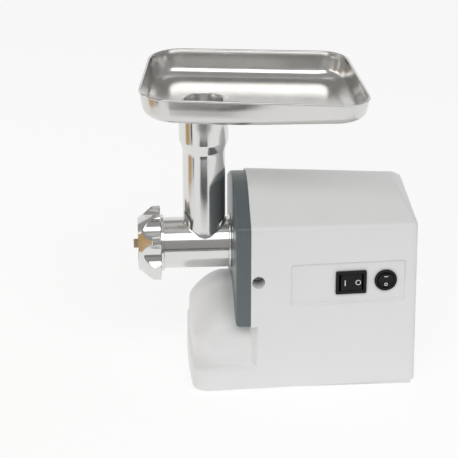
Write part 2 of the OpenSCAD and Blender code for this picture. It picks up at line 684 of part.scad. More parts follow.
housing();
collar();
base_plate();
feet();
base_screws();
panel();
lock_sleeve();
rocker_frame();
round_frame();
head_socket();
gearcase_front();
gearcase_rear();
gearcase_screws();
output_bush();
idler_axle();
motor_stator();
field_coils();
motor_shield();
motor_bolts();
motor_cradle();
brush_holders();
brushes();
shaft_bearing();
cord_inlet();
terminal_block();
capacitor();
earth_screw();
head_casting();
barrel_bush();
cutting_plate();
plate_key();
auger();
auger_stud();
knife();
thrust_washer();
ring_nut();
tray();
tray_neck();
output_gear();
drive_hub();
idler_gear();
idler_pinion();
rotor_core();
rotor_shaft();
motor_pinion();
commutator();
cooling_fan();
rocker_paddle();
rocker_marks();
round_paddle();
round_marks();
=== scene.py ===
"""Looks of the electric meat grinder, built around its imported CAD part.

Shapes are given in machine millimetres: x = 0 at the collar's front face with
+X to the rear, y = 0 on the housing's middle plane with -Y the switch side,
z = 0 on the table. place() turns them into the row frame, in metres.
"""

import json
import math

import bmesh
import bpy
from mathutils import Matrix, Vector

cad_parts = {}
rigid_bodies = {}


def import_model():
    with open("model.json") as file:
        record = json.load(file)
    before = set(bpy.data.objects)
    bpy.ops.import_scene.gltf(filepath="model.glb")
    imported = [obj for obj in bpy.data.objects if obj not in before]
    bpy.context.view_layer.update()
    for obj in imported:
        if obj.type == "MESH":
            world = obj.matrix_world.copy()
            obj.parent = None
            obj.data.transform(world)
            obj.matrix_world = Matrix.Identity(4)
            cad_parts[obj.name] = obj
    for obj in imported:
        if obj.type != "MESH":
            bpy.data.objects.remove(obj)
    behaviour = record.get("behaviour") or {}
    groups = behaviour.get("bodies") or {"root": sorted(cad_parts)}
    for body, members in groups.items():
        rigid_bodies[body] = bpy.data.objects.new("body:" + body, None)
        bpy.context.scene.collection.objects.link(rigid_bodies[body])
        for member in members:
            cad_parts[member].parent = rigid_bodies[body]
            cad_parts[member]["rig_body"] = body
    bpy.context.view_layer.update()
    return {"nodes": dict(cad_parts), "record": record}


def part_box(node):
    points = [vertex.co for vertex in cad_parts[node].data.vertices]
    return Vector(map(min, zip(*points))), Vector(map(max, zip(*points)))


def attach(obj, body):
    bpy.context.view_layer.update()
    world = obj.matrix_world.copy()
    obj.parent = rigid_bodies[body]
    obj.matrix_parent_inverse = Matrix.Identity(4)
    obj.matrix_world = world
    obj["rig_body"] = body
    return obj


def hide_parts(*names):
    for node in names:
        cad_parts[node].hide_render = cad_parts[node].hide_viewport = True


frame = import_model()
nodes = frame["nodes"]

# ---- driving sizes, machine mm ----------------------------------------------

# housing: half width and draft of its sides, rear face, collar, shoulders, crown and slanted rear
HALF_W, DRAFT = 75.0, math.tan(math.radians(3.3))
REAR_X, FLOOR_GAP, WALL = 185.0, 4.0, 3.0
COLLAR_X, COLLAR_Z = 15.0, 74.0
SHOULDER_Z, TOP_Z, CROWN_SOFT = 182.0, 210.5, 9.5
SHOULDER_TAN = math.tan(math.radians(27.5))
CROWN_TAN = math.tan(math.radians(2.93))
CROWN_Y = HALF_W - (TOP_Z - SHOULDER_Z) / SHOULDER_TAN
REAR_SLOPE, SLANT_Z = math.radians(40), SHOULDER_Z - 3.5
REAR_EDGE, REAR_LEAN = 6.0, 2.4
# foot: plan of its rounded top, of its wall and of the skirt; heights and powers of its arched section
FOOT_X, FOOT_W, FOOT_CORNER, FOOT_BOW = -43.8, 69.0, 24.0, 3.6
BOW_Y = 62.0
LOW_X, LOW_CORNER = -43.3, 20.0
SKIRT_X, SKIRT_CORNER, SKIRT_BOW = -45.8, 15.0, 2.4
LEDGE_Z, SPRING_Z, CREST_Z = (26.0, 34.0), 34.0, 94.2
FRONT_Z, FOOT_RISE = 48.0, 36.0
ARCH_POWER, RISE_POWER = 2.32, 1.65
BLEND_X = (15.0, 23.0)
# recessed panel and lock hole in the switch side
PANEL_X, PANEL_Z, PANEL_DEPTH = (55.0, 171.0), (95.6, 141.0), 2.2
PANEL_CORNER = 3.0
LOCK_X, LOCK_Z, LOCK_R = 22.5, 123.5, 6.6
# cord inlet and louvres in the rear face
INLET_Y, INLET_Z, INLET_R = 30.0, 40.0, 7.5
LOUVRES, LOUVRE_Z, LOUVRE_STEP, LOUVRE_GAP, LOUVRE_W = 6, 70.0, 9.0, 4.0, 44.0
# grinder head and ring nut
AXIS_Z, SOCKET_R = 136.5, 28.5
BARREL_R, BORE_R, THREAD_R = 26.2, 22.6, 27.2
TUBE_X, TUBE_R, THROAT_R, MOUTH_R = -28.0, 21.6, 18.8, 25.0
RING_X = (-96.0, -69.7)
LUGS, LUG_R, VALLEY_R, SCALLOP_R = 8, 38.0, 30.0, 15.4
FIRST_LUG = math.radians(24)
# tray: its floor, its rim, its turn about the feed tube and the rim's corners as x, y, radius
TRAY_Z, RIM_Z = 290.0, 318.6
TRAY_TURN = math.radians(-7.2)
TRAY_PLAN = [(-60, -76, 34), (171, -81, 26), (139, 80, 30), (-60, 78, 34)]
TRAY_MID_X, NEAR_FLARE = 54.0, 14.0

collar_low, collar_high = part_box("collar")
ORIGIN = Vector((collar_low.x, (collar_low.y + collar_high.y) / 2, 0))


def place(x, y, z):
    """A machine point in the row frame."""
    return Vector((x, y, z)) / 1000 + ORIGIN


# ---- small maths ------------------------------------------------------------

def smoothstep(a, b, v):
    t = min(1.0, max(0.0, (v - a) / (b - a)))
    return t * t * (3 - 2 * t)


def soft_min(a, b, k):
    """The smaller of a and b, rounded over a width k."""
    h = max(k - abs(a - b), 0) / k
    return min(a, b) - h * h * k / 4


def mix(a, b, t):
    return a + (b - a) * t


def steps(a, b, n):
    return [a + (b - a) * i / n for i in range(n + 1)]


def fillet(before, corner, after, radius, n):
    """Points of the arc that rounds one corner of an outline."""
    p, a, b = (Vector(v) for v in (corner, before, after))
    u, v = (a - p).normalized(), (b - p).normalized()
    half = u.angle(v) / 2
    if radius < 1e-6 or half > math.pi / 2 - 1e-4:
        return [tuple(p)]
    centre = p + (u + v).normalized() * radius / math.sin(half)
    reach = radius / math.tan(half)
    start = p + u * reach - centre
    turn = start.angle_signed(p + v * reach - centre)
    out = []
    for i in range(n + 1):
        s = -turn * i / n
        out.append((centre.x + start.x * math.cos(s) - start.y * math.sin(s),
                    centre.y + start.x * math.sin(s) + start.y * math.cos(s)))
    return out


def rounded(corners, n=8):
    """A closed outline from corners (a, b, radius)."""
    out, m = [], len(corners)
    for i, (a, b, r) in enumerate(corners):
        out += fillet(corners[i - 1][:2], (a, b), corners[(i + 1) % m][:2], r, n)
    return out


# ---- meshes -----------------------------------------------------------------

def new_mesh(name, verts, faces, angle=35):
    data = bpy.data.meshes.new(name)
    data.from_pydata(verts, [], faces)
    obj = bpy.data.objects.new(name, data)
    bpy.context.scene.collection.objects.link(obj)
    tidy(obj, angle)
    return obj


def tidy(obj, angle=35):
    bm = bmesh.new()
    bm.from_mesh(obj.data)
    bmesh.ops.remove_doubles(bm, verts=bm.verts, dist=2e-6)
    bmesh.ops.dissolve_degenerate(bm, edges=bm.edges, dist=1e-6)
    bmesh.ops.recalc_face_normals(bm, faces=bm.faces)
    bm.to_mesh(obj.data)
    bm.free()
    obj.data.shade_smooth()
    obj.data.set_sharp_from_angle(angle=math.radians(angle))


def loft(name, rings, close=False, cap_last=True, angle=35):
    """A skin over rings of equally many machine points; close joins the last ring to the first."""
    n = len(rings[0])
    verts = [place(*p) for ring in rings for p in ring]
    faces = []
    last = len(rings) if close else len(rings) - 1
    for i in range(last):
        a, b = i * n, (i + 1) % len(rings) * n
        faces += [(a + k, a + (k + 1) % n, b + (k + 1) % n, b + k) for k in range(n)]
    if not close:
        faces.append(tuple(range(n))[::-1])
    if cap_last and not close:
        faces.append(tuple((len(rings) - 1) * n + k for k in range(n)))
    return new_mesh(name, verts, faces, angle)


def lathe(name, profile, centre, axis, n):
    """A closed profile of (along, radius) turned about an axis: 0 for X, 1 for Y, 2 for Z."""
    rings = []
    for along, r in profile:
        ring = []
        for k in range(n):
            t = math.tau * (k + 0.5) / n
            p = [r * math.cos(t), r * math.sin(t)]
            p.insert(axis, along)
            ring.append(tuple(c + v for c, v in zip(centre, p)))
        rings.append(ring)
    return loft(name, rings, close=True)


def slab(name, outline, axis, low, high):
    """An outline pushed along one axis, as a plain solid."""
    def point(p, along):
        return (*p[:axis], along, *p[axis:])
    return loft(name, [[point(p, low) for p in outline], [point(p, high) for p in outline]])


def rod(name, centre, radius, n, axis, low, high):
    """A round slab; centre is its place across the axis."""
    return slab(name, [(centre[0] + radius * math.cos(t), centre[1] + radius * math.sin(t))
                       for t in steps(0, math.tau, n)[:-1]], axis, low, high)


def block(name, low, high):
    return slab(name, [(low[0], low[1]), (high[0], low[1]), (high[0], high[1]), (low[0], high[1])],
                2, low[2], high[2])


def boolean(obj, others, operation="DIFFERENCE"):
    """Cuts the others from obj, or joins them to it, one after the other."""
    for other in others:
        mod = obj.modifiers.new("cut", "BOOLEAN")
        mod.operation, mod.solver, mod.object = operation, "EXACT", other
        shaped = bpy.data.meshes.new_from_object(obj.evaluated_get(bpy.context.evaluated_depsgraph_get()))
        obj.modifiers.clear()
        obj.data = shaped
        bpy.data.objects.remove(other)
    tidy(obj)


def softened(node, width):
    """A copy of a CAD node with its sharp edges rounded over a width in mm."""
    obj = bpy.data.objects.new(node + "_soft", nodes[node].data.copy())
    bpy.context.scene.collection.objects.link(obj)
    bm = bmesh.new()
    bm.from_mesh(obj.data)
    bmesh.ops.remove_doubles(bm, verts=bm.verts, dist=1e-6)
    bmesh.ops.dissolve_limit(bm, angle_limit=math.radians(1), verts=bm.verts, edges=bm.edges)
    sharp = [e for e in bm.edges if len(e.link_faces) == 2 and e.calc_face_angle(0) > math.radians(30)]
    bmesh.ops.bevel(bm, geom=sharp, offset=width / 1000, segments=2, profile=0.5,
                    affect="EDGES", clamp_overlap=True)
    bm.to_mesh(obj.data)
    bm.free()
    tidy(obj)
    even = obj.modifiers.new("even", "WEIGHTED_NORMAL")
    even.keep_sharp, even.weight = True, 100
    obj.data = bpy.data.meshes.new_from_object(obj.evaluated_get(bpy.context.evaluated_depsgraph_get()))
    obj.modifiers.clear()
    return obj


def finish_piece(obj, body, slot, replaced):
    """Gives a made piece its material and the body it rides, and hides the CAD nodes it stands for."""
    obj.data.materials.clear()
    obj.data.materials.append(materials[slot])
    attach(obj, body)
    if replaced:
        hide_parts(*replaced)


# ---- materials --------------------------------------------------------------

class Shader:
    """Small helper that wires one procedural material."""

    def __init__(self, name):
        self.mat = bpy.data.materials.new(name)
        self.mat.use_nodes = True
        self.tree = self.mat.node_tree
        self.bsdf = self.tree.nodes["Principled BSDF"]
        coords = self.tree.nodes.new("ShaderNodeTexCoord")
        self.coords = coords.outputs["Object"]

    def set(self, **values):
        for name, value in values.items():
            self.bsdf.inputs[name.replace("_", " ")].default_value = value
        return self

    def node(self, kind, **inputs):
        made = self.tree.nodes.new(kind)
        for name, value in inputs.items():
            made.inputs[name].default_value = value
        return made

    def noise(self, scale, detail=3, stretch=(1, 1, 1)):
        mapping = self.node("ShaderNodeMapping", Scale=stretch)
        self.tree.links.new(self.coords, mapping.inputs["Vector"])
        made = self.node("ShaderNodeTexNoise", Scale=scale, Detail=detail)
        self.tree.links.new(mapping.outputs["Vector"], made.inputs["Vector"])
        return made.outputs["Fac"]

    def vary(self, socket, noise, low, high):
        """Drives a number of the shader between low and high by a noise."""
        spread = self.node("ShaderNodeMapRange", **{"From Min": 0.3, "From Max": 0.7,
                                                    "To Min": low, "To Max": high})
        self.tree.links.new(noise, spread.inputs["Value"])
        self.tree.links.new(spread.outputs["Result"], self.bsdf.inputs[socket])
        return self

    def tint(self, noise, dark, light):
        """Blends the base colour between two tones by a noise."""
        blend = self.tree.nodes.new("ShaderNodeMix")
        blend.data_type = "RGBA"
        blend.inputs["A"].default_value = (*dark, 1)
        blend.inputs["B"].default_value = (*light, 1)
        self.tree.links.new(noise, blend.inputs["Factor"])
        self.tree.links.new(blend.outputs["Result"], self.bsdf.inputs["Base Color"])
        return self

    def bump(self, noise, depth):
        """Fine relief, depth in mm."""
        made = self.node("ShaderNodeBump", Strength=1.0, Distance=depth / 1000)
        self.tree.links.new(noise, made.inputs["Height"])
        self.tree.links.new(made.outputs["Normal"], self.bsdf.inputs["Normal"])
        return self


def plastic(name, colour, roughness, grain=0.0, shine=0.5):
    s = Shader(name)
    dark = tuple(c * 0.97 for c in colour)
    s.tint(s.noise(40), dark, colour).vary("Roughness", s.noise(300), roughness - 0.03, roughness + 0.03)
    s.set(Specular_IOR_Level=shine)
    if grain:
        s.bump(s.noise(2500, 2), grain)
    return s.mat


def metal(name, colour, low, high, scratch=0.0, stretch=(1, 1, 1), scale=60):
    s = Shader(name)
    dark = tuple(c * 0.94 for c in colour)
    s.tint(s.noise(30), dark, colour).vary("Roughness", s.noise(scale, 4, stretch), low, high)
    s.set(Metallic=1.0)
    if scratch:
        s.bump(s.noise(scale * 4, 2, stretch), scratch)
    return s.mat


materials = {
    "white_plastic": plastic("white_plastic", (0.83, 0.84, 0.84), 0.42, 0.01),
    "grey_plastic": plastic("grey_plastic", (0.118, 0.142, 0.148), 0.34, 0.01),
    "base_plastic": plastic("base_plastic", (0.62, 0.63, 0.63), 0.6, 0.01),
    "rubber": plastic("rubber", (0.018, 0.018, 0.018), 0.75, 0.02),
    "black_plastic": plastic("black_plastic", (0.010, 0.010, 0.011), 0.3, shine=0.2),
    "mark_white": plastic("mark_white", (0.75, 0.75, 0.75), 0.5),
    "polished_aluminium": metal("polished_aluminium", (0.74, 0.74, 0.735), 0.11, 0.17, 0.006),
    "cast_aluminium": metal("cast_aluminium", (0.6, 0.61, 0.62), 0.38, 0.5, 0.05, scale=200),
    "stainless": metal("stainless", (0.70, 0.695, 0.68), 0.19, 0.24),
    "steel": metal("steel", (0.58, 0.58, 0.58), 0.2, 0.32, 0.01, (1, 8, 8)),
    "dark_steel": metal("dark_steel", (0.3, 0.3, 0.31), 0.3, 0.45, 0.02),
    "laminations": metal("laminations", (0.25, 0.25, 0.26), 0.4, 0.6, 0.05, (12, 1, 1), 120),
    "copper": metal("copper", (0.62, 0.28, 0.13), 0.25, 0.4, 0.05, (1, 6, 6), 150),
    "brass": metal("brass", (0.72, 0.55, 0.27), 0.25, 0.38, 0.01),
    "bronze_plastic": plastic("bronze_plastic", (0.42, 0.33, 0.24), 0.5, 0.01),
    "nylon": plastic("nylon", (0.72, 0.68, 0.58), 0.5, 0.01),
    "carbon": plastic("carbon", (0.02, 0.02, 0.02), 0.6, 0.02),
}

slot_of = {part["node"]: part["material_slot"] for part in frame["record"]["subparts"]}

# ---- housing ----------------------------------------------------------------

def side_y(x):
    """Half width of the housing at x."""
    return HALF_W - (x - COLLAR_X) * DRAFT


def crown_z(x, y):
    """Height of the arched top at x, y: a flat crown, softly rounded into the sloping shoulders."""
    slope = TOP_Z - (abs(y) - CROWN_Y) * SHOULDER_TAN
    return soft_min(TOP_Z, slope, CROWN_SOFT) - (x - COLLAR_X) * CROWN_TAN


def rear_limit(x, inset=0.0):
    """Height of the slanted upper rear face over x, rounded where it meets the rear face."""
    across, up = math.cos(REAR_SLOPE), math.sin(REAR_SLOPE)
    centre_x = REAR_X - REAR_EDGE
    centre_z = SLANT_Z + (REAR_EDGE * across - REAR_EDGE) / up
    if x > centre_x + REAR_EDGE * across:
        return centre_z + math.sqrt(max(0, REAR_EDGE ** 2 - (x - centre_x) ** 2)) - inset
    return SLANT_Z + (REAR_X - x) * across / up - inset


def body_ring(x, d):
    """One section of the housing behind the collar, drawn in by d."""
    edge = max(0.0, x - (REAR_X - REAR_EDGE))
    half = side_y(x) - d - (REAR_EDGE - math.sqrt(max(0.0, REAR_EDGE ** 2 - edge ** 2)))
    under = max(0.0, 12 * (BLEND_X[1] - x) / (BLEND_X[1] - BLEND_X[0]))
    lip = 0.5 if x <= COLLAR_X + 0.01 and d == 0 else 0.0
    half -= lip
    shoulder = crown_z(x, half) - d - lip
    shoulder = min(shoulder, rear_limit(x, d) - 0.01)
    side = [(-half + under, z) for z in (FLOOR_GAP + d, 20, 40, 60, COLLAR_Z - 0.6)]
    side += [(-half, z) for z in [COLLAR_Z] + steps(90, shoulder - 9, 6)]
    inner = 9.0
    corner = fillet((-half, shoulder - 30), (-half, shoulder),
                    (-half + inner, crown_z(x, half - inner) - d - lip), 7.0, 8)
    flank = [(y, min(z, rear_limit(x, d))) for y, z in side + corner]
    arch = [(-half + t, soft_min(crown_z(x, -half + t) - d - lip, rear_limit(x, d), 3.0))
            for t in steps(inner, 2 * half - inner, 56)]
    return [(x, y, z) for y, z in flank + arch] + [(x, -y, z) for y, z in reversed(flank)]


def body_shell(name, d):
    """The housing behind the collar as a solid, drawn in by d all round."""
    start = COLLAR_X + d
    rear_edge = [REAR_X - REAR_EDGE + REAR_EDGE * math.sin(t) for t in steps(0, math.pi / 2, 8)]
    xs = [start, start + 0.5] + [start + v for v in (2, 4, 6)] + [BLEND_X[1] + d]
    xs += steps(34, 158, 10) + steps(161, 177.5, 9) + rear_edge

    def settled(x, z):
        """x drawn in from the rear by d, and leaning forward with height towards the rear face."""
        x -= d if x > 100 else 0
        return x - REAR_LEAN * z / SHOULDER_Z * smoothstep(PANEL_X[1] + 1, REAR_X, x)
    return loft(name, [[(settled(px, z), y, z) for px, y, z in body_ring(x, d)] for x in xs])


def foot_width(z):
    """Half width of the foot's full section at height z."""
    rise = max(0.0, (z - SPRING_Z) / (CREST_Z - SPRING_Z))
    return FOOT_W * (1 - rise ** ARCH_POWER) ** (1 / ARCH_POWER)


def foot_top(x, y):
    """Height of the foot's rounded top over x, y."""
    back = min(1.0, max(0.0, 1 - (x - FOOT_X) / FOOT_RISE))
    crest = mix(FRONT_Z, CREST_Z, (1 - back ** RISE_POWER) ** (1 / RISE_POWER))
    across = min(1.0, abs(y) / FOOT_W)
    return SPRING_Z + (crest - SPRING_Z) * (1 - across ** ARCH_POWER) ** (1 / ARCH_POWER)


def half_plan(front, half, radius, bow=0.0):
    """Half an outline, from the back along the side and round the corner to the middle of the front."""
    start = front + bow * (half(front) / BOW_Y) ** 2 + radius
    points = [(x, half(x)) for x in steps(BLEND_X[1], start, 14)]
    side = half(start)
    for t in steps(0, math.pi / 2, 18)[1:]:
        y = side - radius * (1 - math.cos(t))
        points.append((front + bow * (y / BOW_Y) ** 2 + radius * (1 - math.sin(t)), y))
    return points + [(front + bow * (y / BOW_Y) ** 2, y) for y in steps(side - radius, 0, 16)[1:]]


def foot_shell():
    """Skirt, ledge, front wall and rounded top, as loops that end along the crest."""
    skirt = half_plan(SKIRT_X, lambda x: side_y(x) - 0.15, SKIRT_CORNER, SKIRT_BOW)
    low = half_plan(LOW_X, lambda x: FOOT_W, LOW_CORNER, FOOT_BOW)
    dome = half_plan(FOOT_X, lambda x: FOOT_W, FOOT_CORNER, FOOT_BOW)
    halves = [[(x, y, z) for x, y in skirt] for z in (FLOOR_GAP, 12, 20, LEDGE_Z[0])]
    for t in steps(0, 1, 10)[1:]:
        share = smoothstep(0, 1, t)
        halves.append([(mix(p[0], q[0], share), mix(p[1], q[1], share), mix(*LEDGE_Z, t))
                       for p, q in zip(skirt, low)])
    for t in steps(0, 1, 8)[1:]:
        halves.append([(mix(p[0], q[0], t * t), mix(p[1], q[1], t * t), mix(SPRING_Z, foot_top(*q), t))
                       for p, q in zip(low, dome)])
    for t in steps(0, math.pi / 2, 36)[1:]:
        share = max(0.0, math.cos(t)) ** (2 / ARCH_POWER) if t < math.pi / 2 - 0.001 else 0.0
        halves.append([(x, y * share, foot_top(x, y * share)) for x, y in dome])
    rings = [[(x, -y, z) for x, y, z in half] + [(x, y, z) for x, y, z in reversed(half)] for half in halves]
    return loft("foot_shell", rings, cap_last=False)


def flare_shell():
    """Below the collar the foot's side runs out to the housing's side."""
    rings = []
    for x in steps(BLEND_X[0] - 2, BLEND_X[0], 2) + steps(BLEND_X[0] + 0.6, BLEND_X[1] + 0.5, 14):
        share = smoothstep(*BLEND_X, x)
        side = [(mix(foot_width(z) - 0.08, side_y(x) - 0.02, share), z)
                for z in [FLOOR_GAP + 1, 20] + steps(SPRING_Z, COLLAR_Z - 0.02, 16)]
        rings.append([(x, -y, z) for y, z in side] + [(x, y, z) for y, z in reversed(side)])
    return loft("flare_shell", rings)


def panel_cutter():
    """The window in the switch side, with a sloping edge all round."""
    rings = []
    for out, grow in ((3.0, 0.4), (0.15, 0.4), (-PANEL_DEPTH + 0.3, -0.9), (-PANEL_DEPTH + 0.02, -1.3),
                      (-PANEL_DEPTH + 0.02, 0.2), (-12, 0.2)):
        near, far = PANEL_X[0] - grow, PANEL_X[1] + grow
        low, high = PANEL_Z[0] - grow, PANEL_Z[1] + grow
        outline = rounded([(x, z, PANEL_CORNER + grow)
                           for x, z in ((near, low), (far, low), (far, high), (near, high))], 6)
        rings.append([(x, -side_y(x) - out, z) for x, z in outline])
    return loft("panel_cutter", rings)


shell = body_shell("housing_shell", 0.0)
boolean(shell, [foot_shell(), flare_shell()], "UNION")
cutters = [body_shell("hollow", WALL),
           block("base_pocket", (FOOT_X + 5, -FOOT_W + 4, 0), (REAR_X - 4, FOOT_W - 9, 8)),
           panel_cutter(),
           rod("lock_hole", (LOCK_X, LOCK_Z), LOCK_R, 48, 1, -HALF_W - 9, -HALF_W + 14),
           rod("inlet_hole", (INLET_Y, INLET_Z), INLET_R, 32, 0, REAR_X - 12, REAR_X + 5),
           rod("front_hole", (0, AXIS_Z), SOCKET_R - 0.1, 64, 0, -5, COLLAR_X + 20)]
for i in range(LOUVRES):
    z = LOUVRE_Z + i * LOUVRE_STEP
    cutters.append(block("louvre", (REAR_X - 12, -LOUVRE_W, z), (REAR_X + 5, LOUVRE_W, z + LOUVRE_GAP)))
boolean(shell, cutters)
finish_piece(shell, "housing", "white_plastic", ["housing"])


# ---- collar -----------------------------------------------------------------

def collar_ring(x):
    """One section of the collar, its front edge rounded."""
    edge, corner, inset = 2.2, 4.0, 1.0
    d = edge - math.sqrt(max(0, edge ** 2 - (edge - x) ** 2)) if x < edge else 0.0
    low = corner - math.sqrt(max(0, corner ** 2 - (corner - x) ** 2)) if x < corner else 0.0
    half = HALF_W - inset - d
    bottom = COLLAR_Z + max(d, low)

    def top(y):
        slope = TOP_Z - (abs(y) - CROWN_Y) * SHOULDER_TAN
        return soft_min(TOP_Z, slope, CROWN_SOFT) - mix(2.3, 1.0, smoothstep(30, 60, abs(y))) - d
    side = [(-half + 2.5, bottom), (-half + 0.6, bottom + 0.5), (-half, bottom + 2.5)]
    side += [(-half, z) for z in steps(90, top(half) - 8, 4)]
    side += fillet((-half, 100), (-half, top(half)), (-half + 6, top(half - 6)), 4.0, 6)
    arch = [(y, top(y)) for y in steps(-half + 6, half - 6, 56)]
    outline = side + arch + [(-y, z) for y, z in reversed(side)]
    return [(x, y, z) for y, z in outline]


collar = loft("collar_shell", [collar_ring(x) for x in steps(0, 4, 14) + [8, COLLAR_X - 0.05]])
boolean(collar, [rod("socket_hole", (0, AXIS_Z), SOCKET_R, 96, 0, -5, COLLAR_X + 5)])
finish_piece(collar, "housing", "grey_plastic", ["collar"])

# ---- grinder head -----------------------------------------------------------

barrel_profile = [(-90.3, 26.7), (-89.8, THREAD_R), (-72.5, THREAD_R), (-72, BARREL_R), (-60, BARREL_R),
                  (-40, BARREL_R), (-20, BARREL_R), (-3.4, BARREL_R), (-3, 26.5), (-2.8, 27.0), (-2.4, 27.2),
                  (-1.4, 27.2), (-1, 27.0), (-0.8, BARREL_R), (-0.2, BARREL_R), (0.0, 27.0), (0.4, 27.2),
                  (1.5, 27.2), (1.9, 26.1), (28.2, 26.1), (28.2, 15), (-2, 15), (-2, BORE_R), (-79, BORE_R),
                  (-79, 24), (-85.2, 24), (-85.2, 24.6), (-90.3, 24.6)]
barrel = lathe("head_barrel", barrel_profile, (0, 0, AXIS_Z), 0, 192)
boolean(barrel, [rod("throat_cut", (TUBE_X, 0), THROAT_R, 96, 2, AXIS_Z + 2, AXIS_Z + 60)])


def tube_rings():
    """The feed tube from its fillet on the barrel up to the mouth, then down inside."""
    count, fillet_r = 160, 1.3
    # radius, height, and whether that height is counted from the barrel's surface
    rows = []
    for t in steps(0, math.pi / 2, 7):
        sunk = 0.15 if t == 0 else 0
        rows.append((TUBE_R + fillet_r * (1 - math.sin(t)), fillet_r * (1 - math.cos(t)) - sunk, True))
    rows += [(TUBE_R, lift, True) for lift in (6, 12)]
    rows += [(TUBE_R, z, False) for z in (185, 210, 235, 239)]
    rows += [(r, z, False) for r, z in (
        (TUBE_R + 0.15, 240.5), (TUBE_R + 0.6, 241.6), (MOUTH_R - 0.5, 248.9), (MOUTH_R - 0.1, 250),
        (MOUTH_R, 251.2), (MOUTH_R, 270), (MOUTH_R, TRAY_Z - 1.0), (MOUTH_R - 0.6, TRAY_Z - 0.3),
        (22.2, TRAY_Z - 0.3), (22.2, 252), (THROAT_R, 252), (THROAT_R, 200))]
    rows.append((THROAT_R, 0, True))
    rings = []
    for r, z, on_barrel in rows:
        ring = []
        for k in range(count):
            t = math.tau * k / count
            x, y = r * math.cos(t), r * math.sin(t)
            foot = AXIS_Z + math.sqrt(BARREL_R ** 2 - y * y) if on_barrel else 0
            ring.append((TUBE_X + x, y, z + foot))
        rings.append(ring)
    return rings


tube = loft("head_tube", tube_rings(), close=True)
finish_piece(barrel, "head", "polished_aluminium", ["head_casting"])
finish_piece(tube, "head", "polished_aluminium", [])

# ---- ring nut ---------------------------------------------------------------

def star_radius(t, cone):
    """Radius of the scalloped rim at angle t, cut by the front cone."""
    pitch = math.tau / LUGS
    off = (t - FIRST_LUG) % pitch - pitch / 2
    far = VALLEY_R + SCALLOP_R
    inside = SCALLOP_R ** 2 - (far * math.sin(off)) ** 2
    valley = far * math.cos(off) - math.sqrt(inside) if inside > 0 else LUG_R + 6 * abs(off)
    return soft_min(soft_min(valley, LUG_R, 0.8), cone, 0.7)


def ring_nut_rings():
    """Rows of x, the cone's radius there or none, and the radius or what is added to the star's."""
    count = LUGS * 36
    rows = [(RING_X[0] + 3.5, None, 22.0), (RING_X[0] + 0.3, None, 25.0), (RING_X[0], None, 25.4)]
    for x in [RING_X[0], RING_X[0] + 0.25] + steps(RING_X[0] + 0.8, RING_X[0] + 15.5, 18) + [-78, -75, -73.3]:
        cone = 26.4 + (x - RING_X[0]) * (LUG_R - 26.6) / 15
        rows.append((x, cone, None))
    rows += [(-72.8, cone, -0.4), (-72.7, None, 28.9), (-72.5, None, 29.2), (-70.1, None, 29.2),
             (RING_X[1], None, 28.8), (RING_X[1], None, 27.3), (-90.4, None, 27.3), (-90.4, None, 22.0)]
    rings = []
    for x, cone, r in rows:
        ring = []
        for k in range(count):
            t = math.tau * k / count
            radius = r if cone is None else star_radius(t, cone) + (r or 0)
            ring.append((x, -radius * math.cos(t), AXIS_Z + radius * math.sin(t)))
        rings.append(ring)
    return rings


ring_nut = loft("ring_nut_shell", ring_nut_rings(), close=True, angle=28)
finish_piece(ring_nut, "ring_nut", "polished_aluminium", ["ring_nut"])

# ---- tray -------------------------------------------------------------------


def turned(x, y, z):
    """A point of the tray's own frame, turned about the feed tube."""
    c, s = math.cos(TRAY_TURN), math.sin(TRAY_TURN)
    return (TUBE_X + x * c - y * s, x * s + y * c, z)


def rim_outline(d, z):
    """The rim's outline drawn in by d at height z, with equally many points at every d."""
    goal = rounded([(x + (-d if x > TRAY_MID_X else d), y + (-d if y > 0 else d), max(4, r - d * 0.45))
                    for x, y, r in TRAY_PLAN], 24)
    rim = rounded(TRAY_PLAN, 24)
    out = []
    for i, p in enumerate(goal):
        q = goal[(i + 1) % len(goal)]
        long = math.dist(rim[i], rim[(i + 1) % len(rim)])
        pieces = max(1, round(long / 12)) if long > 8 else 1
        out += [(mix(p[0], q[0], k / pieces), mix(p[1], q[1], k / pieces)) for k in range(pieces)]
    deep = (RIM_Z - z) / (RIM_Z - TRAY_Z)
    return [(x, y + (NEAR_FLARE * deep * smoothstep(20, 165, x) if y < -20 else 0), z) for x, y in out]


def tray_rings():
    """The tray's sheet, up its outside, over the rolled rim and down its inside."""
    def hole(r, z, share=1.0, d=15.5):
        """Between the outline at d and a circle of radius r about the feed tube."""
        out = []
        for x, y, _ in rim_outline(d, z):
            t = math.atan2(y, x)
            out.append((mix(x, r * math.cos(t), share), mix(y, r * math.sin(t), share), z))
        return out

    bead = 1.25
    rows = []
    wall_out = [(1.15, RIM_Z - 2.6), (1.5, 312), (2.1, 307), (2.9, 303.2)]
    for t in steps(0.12, 1, 10):
        a = t * math.pi / 2
        wall_out.append((3.0 + 13.0 * (1 - math.cos(a)), 303.0 - 13.0 * math.sin(a)))
    # outside, from the hole's lip up to the rim
    for share in (1.0, 0.85, 0.5, 0.2):
        rows.append(hole(20.6, TRAY_Z, share, 16.0))
    for d, z in reversed(wall_out):
        rows.append(rim_outline(d, z))
    # the rolled rim
    for a in steps(-100, 200, 12):
        t = math.radians(a)
        rows.append(rim_outline(bead - bead * math.cos(t), RIM_Z - bead + bead * math.sin(t)))
    # inside, back down to the lip
    for d, z in wall_out:
        rows.append(rim_outline(d + 1.0, z + (0.6 if z < 303 else 0.0) + (0.4 if z < 293 else 0.0)))
    for share in (0.2, 0.5, 0.85, 0.94):
        rows.append(hole(20.6, TRAY_Z + 1, share, 16.0))
    rows.append(hole(22.0, TRAY_Z + 1.05))
    rows.append(hole(21.4, TRAY_Z + 1.55))
    rows.append(hole(20.6, TRAY_Z + 1.7))
    return [[turned(*p) for p in row] for row in rows]


